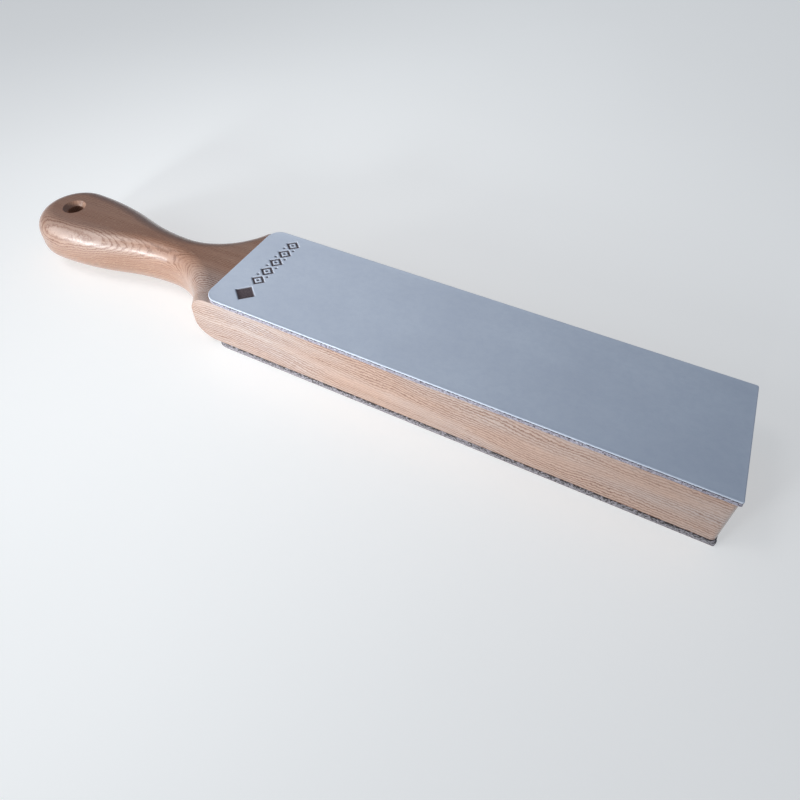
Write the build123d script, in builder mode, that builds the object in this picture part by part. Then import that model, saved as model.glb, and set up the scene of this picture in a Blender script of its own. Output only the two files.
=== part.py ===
from build123d import *

import os
from math import sqrt

# A double-sided paddle strop, in millimetres.
# +X runs from the handle's tip to the blade's free end, +Y across the width, +Z up.
# The origin is the centre of the strop's length and width, on the plane it rests on.

# Board: one piece of beech, the blade and its handle
blade_length = 249.5
blade_width = 59.0
board_thickness = 26.0
blade_corner_radius = 2.0

# Handle outline, all of it tangent arcs
handle_length = 128.0
knob_width = 43.0
neck_width = 22.0
waist_radius = 114.0
shoulder_radius = 37.0

# Round-over along the handle's upper and lower edges
edge_round = 10.0
least_flat = 0.5

# Hang hole through the knob, with the same bevel at both mouths
hang_hole_diameter = 8.0
hang_hole_bevel = 2.25

# Leather on both faces of the blade
leather_thickness = 3.0
leather_setback = 10.0
leather_overhang = 0.5
leather_grip_corner_radius = 7.0
leather_end_corner_radius = 1.5
leather_rim_radius = 0.8

# Film of contact adhesive under each leather
glue_thickness = 0.15
glue_inset = 0.5

# Places along X
overall_length = handle_length + blade_length + leather_overhang
x_tip = -overall_length / 2
x_shoulder = x_tip + handle_length
x_blade_end = x_shoulder + blade_length
x_leather_start = x_shoulder + leather_setback
x_leather_end = x_blade_end + leather_overhang

# Width across the leather, past both sides of the blade
leather_width = blade_width + 2 * leather_overhang

# Levels along Z, from the resting plane up
z_lower_glue = leather_thickness
z_board = z_lower_glue + glue_thickness
z_upper_glue = z_board + board_thickness
z_upper_leather = z_upper_glue + glue_thickness

# Handle outline: the knob's circle, a flank that bulges, a waist that hollows down to
# the neck, and a shoulder that flares from the neck to the blade's side
knob_radius = knob_width / 2
x_knob = x_tip + knob_radius
neck_half = neck_width / 2
shoulder_rise = (blade_width - neck_width) / 2
shoulder_reach = sqrt(shoulder_radius**2 - (shoulder_radius - shoulder_rise) ** 2)
x_neck = x_shoulder - shoulder_reach

# Flank and waist together turn back to level between the knob's widest point and the neck
reverse_length = x_neck - x_knob
reverse_drop = knob_radius - neck_half
reverse_radii = (reverse_length**2 + reverse_drop**2) / (2 * reverse_drop)
flank_radius = reverse_radii - waist_radius
flank_share = flank_radius / reverse_radii
flank_end = (x_knob + reverse_length * flank_share, knob_radius - reverse_drop * flank_share)

# The shoulder's arc runs on past the blade's side, which then trims it
shoulder_end = (x_neck + shoulder_radius, neck_half + shoulder_radius)
x_join = shoulder_end[0] + 2 * edge_round

# A round-over leaves a flat strip along the neck and along the side
handle_round = min(edge_round, neck_half - least_flat, board_thickness / 2 - least_flat)


def leather_plan(z_low, inset):
    """Sketch of the leather's outline at height z_low, drawn in by inset all round."""
    with BuildSketch(Plane.XY.offset(z_low)) as plan:
        with Locations(((x_leather_start + x_leather_end) / 2, 0)):
            Rectangle(x_leather_end - x_leather_start, leather_width)
        fillet(plan.vertices().group_by(Axis.X)[0], leather_grip_corner_radius)
        fillet(plan.vertices().group_by(Axis.X)[-1], leather_end_corner_radius)
        if inset > 0:
            offset(amount=-inset, mode=Mode.REPLACE)
    return plan.sketch


# Paddle: handle first, rounded over, then trimmed to the blade's width and joined to it
with BuildPart() as paddle:
    with BuildSketch(Plane.XY.offset(z_board)):
        with BuildLine():
            knob = CenterArc((x_knob, 0), knob_radius, 180, -90)
            flank = RadiusArc(knob @ 1, flank_end, flank_radius)
            waist = RadiusArc(flank @ 1, (x_neck, neck_half), -waist_radius)
            RadiusArc(waist @ 1, shoulder_end, -shoulder_radius)
            Polyline(shoulder_end, (x_join, shoulder_end[1]), (x_join, 0), (x_tip, 0))
        make_face()
        mirror(about=Plane.XZ)
    extrude(amount=board_thickness)
    outline = paddle.edges().filter_by(GeomType.CIRCLE).filter_by(Plane.XY)
    fillet(outline, handle_round)
    with BuildSketch(Plane.XY.offset(z_board)):
        with Locations(((x_tip + x_join) / 2, 0)):
            Rectangle(x_join - x_tip, blade_width)
    extrude(amount=board_thickness, mode=Mode.INTERSECT)
    with BuildSketch(Plane.XY.offset(z_board)) as blade_plan:
        with Locations(((x_join + x_blade_end) / 2, 0)):
            Rectangle(x_blade_end - x_join, blade_width)
        fillet(blade_plan.vertices().group_by(Axis.X)[-1], blade_corner_radius)
    extrude(amount=board_thickness)
    with Locations((x_knob, 0, z_board + board_thickness)):
        Hole(hang_hole_diameter / 2)
    chamfer(paddle.edges(Select.LAST).filter_by(GeomType.CIRCLE), hang_hole_bevel)
paddle.part.label = "paddle"

# Smooth leather on the upper face, its upper rim rounded by burnishing
with BuildPart() as smooth_leather:
    add(leather_plan(z_upper_leather, 0))
    extrude(amount=leather_thickness)
    fillet(smooth_leather.faces().sort_by(Axis.Z)[-1].edges(), leather_rim_radius)
smooth_leather.part.label = "smooth_leather"

# Rough leather on the lower face, its flesh side out and its lower rim rounded
with BuildPart() as rough_leather:
    add(leather_plan(0, 0))
    extrude(amount=leather_thickness)
    fillet(rough_leather.faces().sort_by(Axis.Z)[0].edges(), leather_rim_radius)
rough_leather.part.label = "rough_leather"

# Adhesive films, held back from the blade's edges
with BuildPart() as upper_glue_film:
    add(leather_plan(z_upper_glue, leather_overhang + glue_inset))
    extrude(amount=glue_thickness)
upper_glue_film.part.label = "upper_glue_film"

with BuildPart() as lower_glue_film:
    add(leather_plan(z_lower_glue, leather_overhang + glue_inset))
    extrude(amount=glue_thickness)
lower_glue_film.part.label = "lower_glue_film"

os.makedirs("parts", exist_ok=True)
for piece in (paddle, smooth_leather, rough_leather, upper_glue_film, lower_glue_film):
    export_step(piece.part, f"parts/{piece.part.label}.step")
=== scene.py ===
from math import cos, exp, pi, radians, sin, sqrt

import bmesh
import bpy
from mathutils import Matrix, Vector, noise


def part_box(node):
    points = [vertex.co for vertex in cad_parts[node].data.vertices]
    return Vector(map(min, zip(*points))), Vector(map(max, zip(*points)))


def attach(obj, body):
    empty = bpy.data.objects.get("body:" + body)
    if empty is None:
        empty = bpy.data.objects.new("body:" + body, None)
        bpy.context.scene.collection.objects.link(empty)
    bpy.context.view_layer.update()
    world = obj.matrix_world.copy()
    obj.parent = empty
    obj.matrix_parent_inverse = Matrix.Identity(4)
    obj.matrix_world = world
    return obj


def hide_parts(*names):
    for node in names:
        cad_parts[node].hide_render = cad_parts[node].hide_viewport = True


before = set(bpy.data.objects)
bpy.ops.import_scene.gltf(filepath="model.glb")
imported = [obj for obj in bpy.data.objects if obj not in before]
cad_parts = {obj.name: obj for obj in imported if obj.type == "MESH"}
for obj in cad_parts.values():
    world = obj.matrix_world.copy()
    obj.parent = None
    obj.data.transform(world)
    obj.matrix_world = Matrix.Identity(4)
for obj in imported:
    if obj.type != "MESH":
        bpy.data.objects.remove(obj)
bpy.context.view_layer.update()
MM = 0.001


# ---------------------------------------------------------------- camera
# Fitted to the corners and edges of the strop in the photograph
CAMERA_PLACE = (0.13337, -0.18801, 0.23571)
CAMERA_LOOK = (-0.32655, 0.64862, -0.6875)
CAMERA_LENS = 28.816
CAMERA_SHIFT = -0.1125


def add_camera():
    """Camera at the photograph's place and angle, level, with its lens and framing shift."""
    data = bpy.data.cameras.new("camera")
    data.sensor_width = 36
    data.lens = CAMERA_LENS
    data.shift_y = CAMERA_SHIFT
    data.clip_start = 0.01
    look = Vector(CAMERA_LOOK).normalized()
    right = look.cross(Vector((0, 0, 1))).normalized()
    up = right.cross(look)
    turn = Matrix((right, up, -look)).transposed().to_4x4()
    cam = bpy.data.objects.new("camera", data)
    cam.matrix_world = Matrix.Translation(CAMERA_PLACE) @ turn
    bpy.context.collection.objects.link(cam)
    bpy.context.scene.camera = cam


# ---------------------------------------------------------------- node helpers
class Shade:
    """A material being built, with short calls for its nodes."""

    def __init__(self, name):
        self.mat = bpy.data.materials.new(name)
        self.mat.use_nodes = True
        self.tree = self.mat.node_tree
        self.bsdf = self.tree.nodes["Principled BSDF"]
        self.place = self.node("ShaderNodeTexCoord").outputs["Object"]

    def put(self, socket, value):
        """Link a socket to another's output, or set it to a plain value."""
        if isinstance(value, bpy.types.NodeSocket):
            self.tree.links.new(value, socket)
        elif isinstance(value, tuple) and len(value) == 3 and socket.type == "RGBA":
            socket.default_value = (*value, 1)
        else:
            socket.default_value = value

    def node(self, kind, inputs=None, **settings):
        made = self.tree.nodes.new(kind)
        for key, value in settings.items():
            setattr(made, key, value)
        for key, value in (inputs or {}).items():
            self.put(made.inputs[key], value)
        return made

    def math(self, operation, a, b=0.5, clamp=False):
        return self.node("ShaderNodeMath", {0: a, 1: b}, operation=operation, use_clamp=clamp).outputs[0]

    def times(self, a, b):
        return self.math("MULTIPLY", a, b)

    def add(self, total, *others):
        for other in others:
            total = self.math("ADD", total, other)
        return total

    def stretch(self, x, y, z):
        """Object coordinates in millimetres, each axis scaled."""
        scale = (x / MM, y / MM, z / MM)
        return self.node("ShaderNodeVectorMath", {0: self.place, 1: scale}, operation="MULTIPLY").outputs[0]

    def noise(self, vector, detail=2.0, rough=0.5, distort=0.0):
        inputs = {"Vector": vector, "Scale": 1.0, "Detail": detail, "Roughness": rough, "Distortion": distort}
        return self.node("ShaderNodeTexNoise", inputs).outputs["Fac"]

    def cells(self, scale, feature):
        inputs = {"Vector": self.stretch(1, 1, 1), "Scale": scale, "Randomness": 1.0}
        return self.node("ShaderNodeTexVoronoi", inputs, feature=feature).outputs["Distance"]

    def ramp(self, factor, *stops):
        """Colour ramp from (place, colour or grey) stops."""
        made = self.node("ShaderNodeValToRGB", {"Fac": factor})
        points = made.color_ramp.elements
        while len(points) < len(stops):
            points.new(0.5)
        for point, (where, colour) in zip(points, stops):
            point.position = where
            point.color = (*colour, 1) if isinstance(colour, tuple) else (colour, colour, colour, 1)
        return made.outputs["Color"]

    def ease(self, value, start, end, top=1.0):
        """From 0 at start to top at end, smoothly."""
        inputs = {"Value": value, 1: start, 2: end, 3: 0.0, 4: top}
        return self.node("ShaderNodeMapRange", inputs, interpolation_type="SMOOTHSTEP").outputs[0]

    def mix(self, factor, a, b):
        made = self.node("ShaderNodeMix", data_type="RGBA")
        self.put(made.inputs[0], factor)
        self.put(made.inputs[6], a)
        self.put(made.inputs[7], b)
        return made.outputs[2]

    def bump(self, height, strength, distance, under=None):
        made = self.node("ShaderNodeBump", {"Height": height, "Strength": strength, "Distance": distance})
        if under is not None:
            self.put(made.inputs["Normal"], under)
        return made.outputs[0]

    def painted(self, attribute):
        """A value that the mesh carries at its points."""
        made = self.node("ShaderNodeAttribute", attribute_name=attribute, attribute_type="GEOMETRY")
        return made.outputs["Fac"]

    def finish(self, colour, rough, normal, **constants):
        self.put(self.bsdf.inputs["Base Color"], colour)
        self.put(self.bsdf.inputs["Roughness"], rough)
        if normal is not None:
            self.put(self.bsdf.inputs["Normal"], normal)
        for key, value in constants.items():
            self.put(self.bsdf.inputs[key.replace("_", " ")], value)
        return self.mat


def srgb(r, g, b):
    """Linear colour of an 8-bit sRGB one."""
    return tuple((v / 255 / 12.92) if v <= 10 else ((v / 255 + 0.055) / 1.055) ** 2.4 for v in (r, g, b))


# ---------------------------------------------------------------- beech, in millimetres
PITH_Y = 96.0
PITH_Z = -66.0
PITH_LEAN = 0.035
RING_SPACING = 0.80
SAPWOOD_PAINTED_LIGHT_START = 140.0
# Where the pale sapwood begins and is full: on the front side and the front of the top, painted light for the
# brighter light there
SAPWOOD_PAINTED_LIGHT_END = 156.0
HAND_START = -60.0
HAND_END = -105.0
HEARTWOOD = (srgb(170, 134, 113), srgb(173, 131, 107), srgb(168, 120, 94))
# Pale sapwood colours, which on the front side are painted light as well as sapwood
SAPWOOD_PAINTED_LIGHT = (srgb(194, 180, 176), srgb(194, 173, 163), srgb(196, 163, 145))
RING_BROWN = srgb(116, 69, 42)
FIBRE_BROWN = srgb(140, 97, 73)
PORE_BROWN = srgb(96, 59, 41)
RAY_CREAM = srgb(200, 163, 138)
HAND_BROWN = srgb(132, 90, 68)


def pith_distance(s, x, y, z):
    """Distance from the pith, which lies far below and behind, nearly along X, with its wander."""
    across = s.math("SUBTRACT", s.math("SUBTRACT", y, PITH_Y), s.times(x, PITH_LEAN))
    height = s.math("SUBTRACT", z, PITH_Z)
    radius = s.math("SQRT", s.add(s.times(across, across), s.times(height, height)))
    slow = s.noise(s.stretch(0.012, 0.03, 0.03), detail=1.0)
    wave = s.noise(s.stretch(0.07, 0.16, 0.16))
    tremble = s.noise(s.stretch(0.85, 0.6, 0.6), rough=0.6)
    return s.add(radius, s.times(slow, 9.0), s.times(wave, 1.5), s.times(tremble, 0.85))


def growth_rings(s, x, distance):
    """Late wood of each year; some years are strong and some hardly show."""
    phase = s.math("FRACT", s.math("DIVIDE", distance, RING_SPACING))
    ring = s.ramp(phase, (0.0, 0.45), (0.14, 0.0), (0.50, 0.10), (0.86, 1.0), (1.0, 0.45))
    year = s.node("ShaderNodeCombineXYZ", {0: s.times(distance, 0.35), 1: s.times(x, 0.01)}).outputs[0]
    return s.times(ring, s.ramp(s.noise(year), (0.32, 0.35), (0.60, 1.0)))


def heart_and_sapwood_painted_light(s, distance):
    """Pale sapwood away from the pith and warmer heartwood near it, both in broad zones; the sapwood lies on
    the front side and the front of the top, where its pale colour is painted light standing in for the
    brighter light there.
    """
    zones = s.noise(s.stretch(0.010, 0.045, 0.045))
    heart = zip((0.30, 0.50, 0.70), HEARTWOOD)
    sapwood_painted_light = zip((0.36, 0.50, 0.64), SAPWOOD_PAINTED_LIGHT)
    return s.mix(s.ease(distance, SAPWOOD_PAINTED_LIGHT_START, SAPWOOD_PAINTED_LIGHT_END), s.ramp(zones, *heart), s.ramp(zones, *sapwood_painted_light))


def beech():
    """Oiled beech: fine growth rings on a slant, pores, ray flecks and warm zones."""
    s = Shade("oiled_beech")
    x, y, z = s.node("ShaderNodeSeparateXYZ", {0: s.stretch(1, 1, 1)}).outputs
    distance = pith_distance(s, x, y, z)
    ring = growth_rings(s, x, distance)
    # Short dark pores and pale ray flecks lie along the grain
    pores = s.ramp(s.noise(s.stretch(0.5, 5.5, 5.5), rough=0.55), (0.60, 0.0), (0.70, 1.0))
    rays = s.noise(s.stretch(0.28, 1.7, 1.1), detail=1.0, rough=0.4, distort=0.4)
    rays = s.ramp(rays, (0.60, 0.0), (0.72, 1.0))
    fibre = s.noise(s.stretch(0.07, 7.0, 7.0), detail=3.0, rough=0.65)
    # The pale sapwood on the front side is painted light
    colour = s.mix(ring, heart_and_sapwood_painted_light(s, distance), RING_BROWN)
    colour = s.mix(s.times(s.ramp(fibre, (0.32, 1.0), (0.58, 0.0)), 0.40), colour, FIBRE_BROWN)
    colour = s.mix(s.times(pores, 0.55), colour, PORE_BROWN)
    colour = s.mix(s.times(rays, 0.30), colour, RAY_CREAM)
    # A hand darkens the neck and the knob a little
    worn = s.ease(x, HAND_START, HAND_END, top=0.30)
    patch = s.noise(s.stretch(0.03, 0.05, 0.05), detail=3.0)
    colour = s.mix(s.times(worn, patch), colour, HAND_BROWN)
    relief = s.add(s.times(ring, -0.5), s.times(pores, -0.9), s.times(fibre, 0.5))
    normal = s.bump(relief, 0.55, 0.07 * MM)
    rough = s.add(s.times(fibre, 0.22), 0.30, s.times(ring, 0.08))
    return s.finish(colour, rough, normal, Coat_Weight=1.0, Coat_Roughness=0.27, Specular_IOR_Level=0.5)


# ---------------------------------------------------------------- leather finishes and glue
# The meshes carry "press", 1 in the ornament, and "edge", from 0 on the face to 1 at the back
CUT_GRAIN = (srgb(110, 102, 114), srgb(166, 160, 173), srgb(200, 196, 207))
CUT_FLESH = (srgb(112, 102, 108), srgb(162, 154, 160), srgb(198, 192, 198))
DYE_SHADE = srgb(190, 198, 217)
FOLLICLE_SHADE = srgb(170, 178, 198)
# Painted highlight for the smooth leather's rim
RIM_PAINTED_HIGHLIGHT = srgb(236, 238, 246)
# Painted shade for the groove under the rim
GROOVE_PAINTED_SHADE = srgb(46, 40, 50)
SPECK_DARK = srgb(74, 54, 50)
TUFT_SHADE = srgb(126, 112, 108)
NAP_LIGHT = srgb(214, 206, 202)
FLESH_SPECK_DARK = srgb(66, 48, 46)
# Darker patches towards the back of the rough leather's cut edge
BACK_EDGE_DARK = srgb(38, 27, 26)


def dyed_grain(s, mottle, follicle, press):
    """Pale grey-blue dye, cloudy and mottled, browned by heat and pressure in the ornament."""
    cloud = s.noise(s.stretch(0.022, 0.035, 0.035), detail=3.0, rough=0.55)
    colour = s.ramp(cloud, (0.34, srgb(208, 214, 228)), (0.66, srgb(215, 221, 234)))
    colour = s.mix(s.times(s.ramp(mottle, (0.35, 1.0), (0.62, 0.0)), 0.22), colour, DYE_SHADE)
    colour = s.mix(s.times(s.ramp(follicle, (0.60, 0.0), (0.72, 1.0)), 0.20), colour, FOLLICLE_SHADE)
    burnt = s.noise(s.stretch(1.3, 1.3, 1.3), detail=3.0, rough=0.7)
    burnt = s.ramp(burnt, (0.36, srgb(70, 56, 60)), (0.64, srgb(104, 86, 88)))
    return s.mix(press, colour, burnt)


def smooth_hide():
    """Grain side of vegetable-tanned leather, dyed pale grey-blue and burnished."""
    s = Shade("smooth_leather_finish")
    press = s.painted("press")
    edge = s.painted("edge")
    pebbles = s.ramp(s.cells(2.6, "DISTANCE_TO_EDGE"), (0.0, 0.0), (0.22, 1.0))
    follicle = s.noise(s.stretch(3.4, 3.4, 3.4))
    mottle = s.noise(s.stretch(0.35, 0.45, 0.45), detail=4.0, rough=0.6)
    # The cut edge shows fibres and dark specks between the finish and the glue
    strands = s.noise(s.stretch(0.9, 0.9, 2.6), detail=4.0, rough=0.7, distort=0.6)
    specks = s.noise(s.stretch(1.0, 1.0, 1.7), rough=0.6)
    raw = s.ramp(strands, *zip((0.36, 0.50, 0.62), CUT_GRAIN))
    raw = s.mix(s.ramp(specks, (0.56, 0.0), (0.61, 0.9)), raw, SPECK_DARK)
    # A painted highlight on the rim, whose lower roughness also gives it a real sheen, and a broken line of
    # painted shade in the groove below it
    rim = s.ramp(edge, (0.04, 0.0), (0.12, 1.0), (0.20, 1.0), (0.26, 0.0))
    groove = s.ramp(edge, (0.20, 0.0), (0.25, 1.0), (0.50, 1.0), (0.57, 0.0))
    dashes = s.ramp(s.noise(s.stretch(0.7, 0.7, 0.7)), (0.40, 0.35), (0.52, 1.0))
    cut = s.ramp(edge, (0.40, 0.0), (0.50, 1.0))
    colour = s.mix(s.times(rim, 0.15), dyed_grain(s, mottle, follicle, press), RIM_PAINTED_HIGHLIGHT)
    colour = s.mix(cut, colour, raw)
    colour = s.mix(s.times(groove, dashes), colour, GROOVE_PAINTED_SHADE)
    fine = s.bump(s.add(s.times(pebbles, 0.6), s.times(follicle, 0.8)), 0.30, 0.05 * MM)
    normal = s.bump(s.times(strands, cut), 0.8, 0.30 * MM, fine)
    rough = s.add(s.times(mottle, 0.16), s.times(cut, 0.28), 0.44)
    rough = s.math("SUBTRACT", rough, s.times(rim, 0.06), clamp=True)
    return s.finish(colour, rough, normal, Specular_IOR_Level=0.45, Sheen_Weight=0.12, Sheen_Roughness=0.5)


def rough_hide():
    """Flesh side: short nap in tufts, undyed under the grey, with darker pulled fibres."""
    s = Shade("rough_leather_finish")
    edge = s.painted("edge")
    tuft = s.noise(s.stretch(0.9, 1.1, 1.1), detail=5.0, rough=0.72, distort=0.8)
    hair = s.noise(s.stretch(2.2, 6.0, 6.0), detail=4.0, rough=0.7, distort=0.5)
    cloud = s.noise(s.stretch(0.03, 0.04, 0.04), detail=3.0)
    colour = s.ramp(cloud, (0.35, srgb(172, 160, 154)), (0.65, srgb(190, 180, 176)))
    colour = s.mix(s.times(s.ramp(tuft, (0.36, 1.0), (0.60, 0.0)), 0.65), colour, TUFT_SHADE)
    colour = s.mix(s.times(s.ramp(hair, (0.55, 0.0), (0.72, 1.0)), 0.5), colour, NAP_LIGHT)
    # The cut edge is specked, and darker in patches towards the back, next to the glue
    specks = s.noise(s.stretch(0.9, 0.9, 1.6), rough=0.6)
    raw = s.ramp(hair, *zip((0.36, 0.52, 0.68), CUT_FLESH))
    raw = s.mix(s.ramp(specks, (0.54, 0.0), (0.62, 0.85)), raw, FLESH_SPECK_DARK)
    back_dark = s.math("SUBTRACT", s.add(s.times(edge, 0.6), s.times(specks, 2.2)), 1.0)
    raw = s.mix(s.ramp(back_dark, (0.46, 0.0), (0.66, 0.92)), raw, BACK_EDGE_DARK)
    colour = s.mix(s.ramp(edge, (0.16, 0.0), (0.24, 1.0)), colour, raw)
    normal = s.bump(s.add(tuft, s.times(hair, 0.6)), 0.9, 0.35 * MM)
    rough = s.add(s.times(tuft, 0.15), 0.80)
    return s.finish(colour, rough, normal, Specular_IOR_Level=0.25, Sheen_Weight=0.35, Sheen_Roughness=0.6)


def adhesive():
    """Dried contact adhesive: amber, with strings and small bubbles."""
    s = Shade("dried_adhesive")
    strings = s.noise(s.stretch(0.5, 1.5, 1.0), detail=3.0, rough=0.6, distort=1.2)
    bubbles = s.ramp(s.cells(0.9, "F1"), (0.0, 1.0), (0.3, 0.0))
    colour = s.ramp(strings, (0.35, srgb(120, 84, 44)), (0.60, srgb(176, 136, 82)))
    normal = s.bump(s.add(strings, bubbles), 0.5, 0.10 * MM)
    rough = s.add(s.times(strings, 0.3), 0.25)
    return s.finish(colour, rough, normal, Specular_IOR_Level=0.5)


# ---------------------------------------------------------------- leather shapes
GRIP_CORNER = 7.0 * MM
END_CORNER = 0.9 * MM
RIM = 0.42 * MM
RIM_STEPS = 6
GRIP_STEPS = 14
END_STEPS = 5
FACE_STEP = 1.1 * MM
FACE_STEP_CLOSE = 0.22 * MM
CLOSE_START = 9 * MM
CLOSE_END = 24 * MM
LAST_GAP = 1.3 * MM
ROWS_FINE = 220
ROWS_PLAIN = 110
CALM_RIM = 1 * MM
PRESS_DEPTH = 0.55 * MM
GRAIN_DEPTH = 0.035 * MM
GRAIN_PER_METRE = 45
NAP_DEPTH = 0.10 * MM
NAP_PER_METRE = 900
GROOVE_DEPTH = 0.16 * MM
CUT_TOP = 1.15 * MM
CUT_STEPS = 9
SMOOTH_FRAY = 0.24 * MM
ROUGH_FRAY = 0.32 * MM
FRAY_ALONG_PER_METRE = 1400
FRAY_DOWN_PER_METRE = 2600
FRAY_LIFT_PER_METRE = 1700

# The ornament runs across the strip at a distance from the grip end: one solid lozenge, then
# five hollow ones with a dot in each and a pair of dots between them
MARK_X = 16.5 * MM
MARK_START = 8 * MM
MARK_END = 26 * MM
SOLID_Y = -18.5 * MM
SOLID_HALF = (5.6 * MM, 5.2 * MM)
HOLLOW_COUNT = 5
HOLLOW_FIRST_Y = -8.0 * MM
HOLLOW_PITCH = 7.6 * MM
HOLLOW_HALF = (3.9 * MM, 3.5 * MM)
HOLLOW_WALL = 1.05 * MM
CENTRE_DOT = 0.62 * MM
PAIR_DOT = 0.55 * MM
PAIR_REACH = 2.7 * MM
PRESS_SOFTNESS = 0.075 * MM


class Strip:
    """A leather's place, from its CAD box, and which way its worked face looks."""

    def __init__(self, node, face_up):
        lo, hi = (Vector(v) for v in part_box(node))
        self.x0, self.x1 = lo.x, hi.x
        self.half = (hi.y - lo.y) / 2
        self.middle = (hi.y + lo.y) / 2
        self.thick = hi.z - lo.z
        self.face_z, self.inward = (hi.z, -1) if face_up else (lo.z, 1)

    def stations(self, fine):
        """Places along X on the worked face: round the two corners, close together under an ornament."""
        grip = GRIP_CORNER - RIM
        end = END_CORNER - RIM
        places = [self.x0 + RIM + grip * (1 - cos(pi / 2 * i / GRIP_STEPS)) for i in range(GRIP_STEPS + 1)]
        last = self.x1 - RIM - end
        here = places[-1]
        while here < last - LAST_GAP:
            close = fine and self.x0 + CLOSE_START <= here < self.x0 + CLOSE_END
            here += FACE_STEP_CLOSE if close else FACE_STEP
            places.append(here)
        return places + [last + end * sin(pi / 2 * i / END_STEPS) for i in range(END_STEPS + 1)]

    def reach(self, x):
        """Half the worked face's width at x."""
        grip = GRIP_CORNER - RIM
        end = END_CORNER - RIM
        full = self.half - RIM
        near = x - self.x0 - RIM
        far = self.x1 - RIM - x
        if near < grip:
            return full - grip + sqrt(max(0.0, grip**2 - (grip - near) ** 2))
        if far < end:
            return full - end + sqrt(max(0.0, end**2 - (end - far) ** 2))
        return full


def lozenge(x, y, cx, cy, half):
    """Signed distance, in metres, from the edge of a lozenge; negative inside."""
    half_x, half_y = half
    share = abs(x - cx) / half_x + abs(y - cy) / half_y - 1
    return share * half_x * half_y / sqrt(half_x**2 + half_y**2)


def dot(x, y, cx, cy, size):
    return sqrt((x - cx) ** 2 + (y - cy) ** 2) - size


def ornament(strip, x, y):
    """How deep the pressed ornament is at a point of the smooth leather, from 0 to 1."""
    if not strip.x0 + MARK_START < x < strip.x0 + MARK_END:
        return 0.0
    cx = strip.x0 + MARK_X
    v = y - strip.middle
    near = lozenge(x, v, cx, SOLID_Y, SOLID_HALF)
    for k in range(HOLLOW_COUNT):
        cy = HOLLOW_FIRST_Y + HOLLOW_PITCH * k
        ring = lozenge(x, v, cx, cy, HOLLOW_HALF)
        near = min(near, max(ring, -HOLLOW_WALL - ring), dot(x, v, cx, cy, CENTRE_DOT))
        if k < HOLLOW_COUNT - 1:
            for side in (-PAIR_REACH, PAIR_REACH):
                near = min(near, dot(x, v, cx + side, cy + HOLLOW_PITCH / 2, PAIR_DOT))
    return 1 / (1 + exp(max(-40.0, min(40.0, near / PRESS_SOFTNESS))))


def worked_face(bm, strip, fine, press):
    """Grid of the worked face, with the ornament pressed into a fine one and nap on a plain one."""
    xs = strip.stations(fine)
    rows = ROWS_FINE if fine else ROWS_PLAIN
    grid = []
    for x in xs:
        reach = strip.reach(x)
        line = []
        for j in range(rows + 1):
            y = strip.middle - reach + 2 * reach * j / rows
            if fine:
                amount = ornament(strip, x, y)
                grain = 1 + noise.noise(Vector((x, y, 3.0)) * GRAIN_PER_METRE)
                depth = PRESS_DEPTH * amount + GRAIN_DEPTH * grain
            else:
                amount = 0.0
                tuft = Vector((x * NAP_PER_METRE, y * NAP_PER_METRE, 7.0))
                depth = NAP_DEPTH * (1 + noise.fractal(tuft, 1.0, 2.0, 4))
            from_rim = min(reach - abs(y - strip.middle), x - xs[0], xs[-1] - x)
            if from_rim < CALM_RIM:
                depth *= max(0.0, from_rim / CALM_RIM)
            v = bm.verts.new((x, y, strip.face_z + strip.inward * depth))
            v[press] = amount
            line.append(v)
        grid.append(line)
    for a, b in zip(grid, grid[1:]):
        for j in range(rows):
            bm.faces.new((a[j], b[j], b[j + 1], a[j + 1]))
    return grid


def outline(grid):
    """Rim of the worked face, counter-clockwise from the grip end's front corner."""
    loop = [line[0] for line in grid]
    loop += grid[-1][1:]
    loop += [line[-1] for line in reversed(grid[:-1])]
    loop += list(reversed(grid[0][1:-1]))
    return loop


def edge_profile(thick):
    """The edge from the face down to the back: (out, down, edge value, how loose the fibres are)."""
    profile = []
    for i in range(RIM_STEPS):
        turn = pi / 2 * (i + 1) / RIM_STEPS
        profile.append((RIM * sin(turn), RIM * (1 - cos(turn)), 0.05 + 0.15 * i / RIM_STEPS, 0.0))
    profile.append((RIM, 0.52 * MM, 0.24, 0.1))
    profile.append((RIM - GROOVE_DEPTH, 0.64 * MM, 0.34, 0.4))
    profile.append((RIM - GROOVE_DEPTH, 0.88 * MM, 0.44, 0.6))
    profile.append((RIM - 0.04 * MM, 1.02 * MM, 0.52, 0.9))
    cut = thick - CUT_TOP - 0.12 * MM
    for i in range(CUT_STEPS):
        share = i / CUT_STEPS
        profile.append((RIM - 0.02 * MM, CUT_TOP + cut * share, 0.56 + 0.36 * share, 1.0))
    profile.append((RIM - 0.14 * MM, thick - 0.10 * MM, 0.96, 0.6))
    profile.append((RIM - 0.28 * MM, thick, 1.0, 0.0))
    return profile


def sweep_edge(bm, strip, loop, fray, edge):
    """Carry the edge's profile round the face's outline, fray the cut part, and close the back."""
    centre = [v.co.copy() for v in loop]
    outward = []
    for k in range(len(centre)):
        along = centre[(k + 1) % len(centre)] - centre[k - 1]
        outward.append(Vector((along.y, -along.x, 0)).normalized())
    previous = loop
    for out, down, value, loose in edge_profile(strip.thick):
        ring = []
        for c, n in zip(centre, outward):
            p = Vector((c.x, c.y, strip.face_z + strip.inward * down)) + n * out
            if loose:
                fibre = Vector((p.xy * FRAY_ALONG_PER_METRE).to_3d())
                fibre.z = p.z * FRAY_DOWN_PER_METRE
                rip = noise.fractal(fibre, 0.8, 2.1, 4)
                p += n * fray * loose * (rip - 0.25)
                p.z += strip.inward * 0.25 * fray * loose * noise.noise(p * FRAY_LIFT_PER_METRE)
            v = bm.verts.new(p)
            v[edge] = value
            ring.append(v)
        for k in range(len(ring)):
            m = (k + 1) % len(ring)
            bm.faces.new((previous[k], ring[k], ring[m], previous[m]))
        previous = ring
    bm.faces.new(previous)


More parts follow.
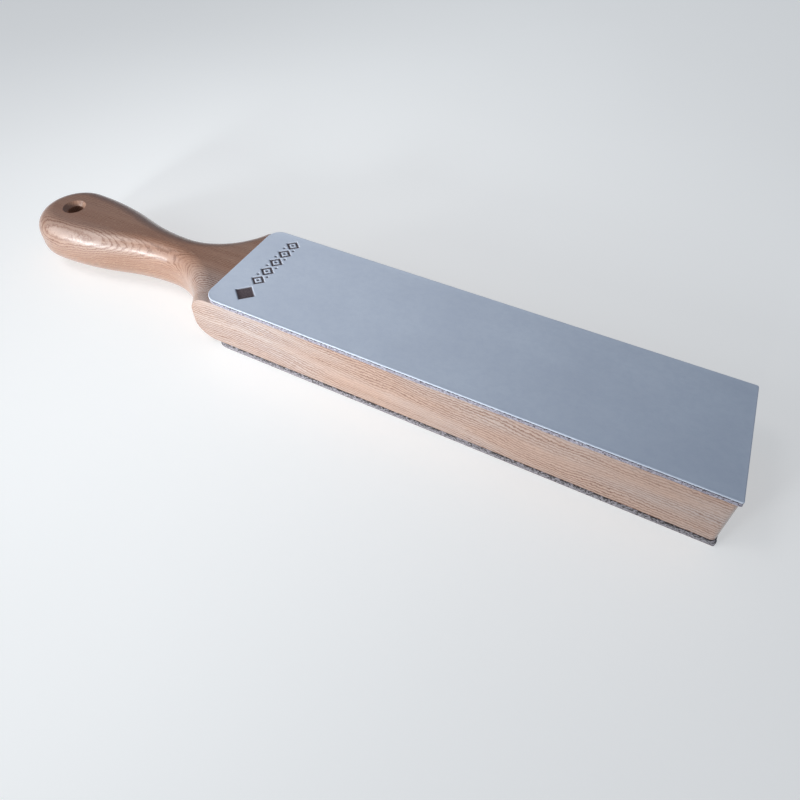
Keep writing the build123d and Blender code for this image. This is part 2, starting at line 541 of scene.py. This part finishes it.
def leather(name, node, face_up, fine, fray):
    """A leather strip as one closed mesh: worked face, round rim, frayed cut edge, flat back."""
    strip = Strip(node, face_up)
    bm = bmesh.new()
    press = bm.verts.layers.float.new("press")
    edge = bm.verts.layers.float.new("edge")
    grid = worked_face(bm, strip, fine, press)
    sweep_edge(bm, strip, outline(grid), fray, edge)
    bmesh.ops.recalc_face_normals(bm, faces=bm.faces)
    mesh = bpy.data.meshes.new(name)
    bm.to_mesh(mesh)
    bm.free()
    mesh.shade_smooth()
    obj = bpy.data.objects.new(name, mesh)
    bpy.context.collection.objects.link(obj)
    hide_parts(node)
    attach(obj, "root")
    return obj


# ---------------------------------------------------------------- studio
FLOOR_SIZE = 24
FLOOR_GAP = 0.0002
LIGHT_SKY = (0.60, 0.78, 1.0, 1)
LIGHT_SKY_STRENGTH = 0.22
BACKDROP = (0.535, 0.56, 0.585, 1)


def pale_floor():
    """Flat pale floor, lit from within so that it stays pale and lights the sides from below."""
    s = Shade("studio_floor")
    tone = s.ramp(s.noise(s.stretch(0.004, 0.004, 0.004)), (0.4, 0.60), (0.6, 0.62))
    glow = dict(Emission_Color=(1.0, 0.995, 0.985), Emission_Strength=0.46)
    return s.finish(tone, 0.45, None, Specular_IOR_Level=0.3, **glow)


def add_floor():
    bpy.ops.mesh.primitive_plane_add(size=FLOOR_SIZE, location=(0, 0, -FLOOR_GAP))
    floor = bpy.context.object
    floor.name = "floor"
    floor.data.materials.append(pale_floor())


def add_world():
    """Soft bluish light all round, behind a backdrop of the far floor's tone."""
    world = bpy.data.worlds.new("studio")
    world.use_nodes = True
    tree = world.node_tree
    sky = tree.nodes["Background"]
    sky.inputs[0].default_value = LIGHT_SKY
    sky.inputs[1].default_value = LIGHT_SKY_STRENGTH
    backdrop = tree.nodes.new("ShaderNodeBackground")
    backdrop.inputs[0].default_value = BACKDROP
    pick = tree.nodes.new("ShaderNodeMixShader")
    tree.links.new(tree.nodes.new("ShaderNodeLightPath").outputs["Is Camera Ray"], pick.inputs[0])
    tree.links.new(sky.outputs[0], pick.inputs[1])
    tree.links.new(backdrop.outputs[0], pick.inputs[2])
    tree.links.new(pick.outputs[0], tree.nodes["World Output"].inputs[0])
    bpy.context.scene.world = world
    bpy.context.scene.view_settings.view_transform = "Standard"


def light(name, place, aim, size, power, colour, spread):
    """Soft lamp, unseen by the camera; spread is in degrees."""
    data = bpy.data.lights.new(name, "AREA")
    data.shape = "RECTANGLE"
    data.size, data.size_y = size
    data.spread = radians(spread)
    data.energy = power
    data.color = colour
    obj = bpy.data.objects.new(name, data)
    obj.visible_camera = False
    obj.location = place
    obj.rotation_euler = (Vector(aim) - Vector(place)).to_track_quat("-Z", "Y").to_euler()
    bpy.context.collection.objects.link(obj)


def add_lights():
    """Two low lamps in front, a wide one beside the handle and a small one above it."""
    light("key", (-0.088, -1.20, 0.23), (-0.088, 0, 0.012), (0.32, 0.20), 0.23, (0.91, 0.98, 1.0), 18)
    light("glare", (-0.74, -1.02, 0.29), (-0.125, 0, 0.012), (0.70, 0.42), 0.36, (0.92, 0.98, 1.0), 21)
    light("kick", (-0.86, -0.78, 0.58), (-0.14, 0, 0.015), (1.0, 0.60), 0.60, (0.94, 0.98, 1.0), 60)
    light("top", (-0.42, -0.18, 0.72), (-0.09, 0, 0.02), (0.38, 0.38), 0.16, (1.0, 0.96, 0.93), 42)


# ---------------------------------------------------------------- the strop
add_camera()
add_floor()
add_world()
add_lights()

for node, finish in (("paddle", beech), ("upper_glue_film", adhesive), ("lower_glue_film", adhesive)):
    mesh = bpy.data.objects[node].data
    mesh.materials.clear()
    mesh.materials.append(finish())

smooth = leather("smooth_leather_strip", "smooth_leather", True, True, SMOOTH_FRAY)
smooth.data.materials.append(smooth_hide())
rough = leather("rough_leather_strip", "rough_leather", False, False, ROUGH_FRAY)
rough.data.materials.append(rough_hide())
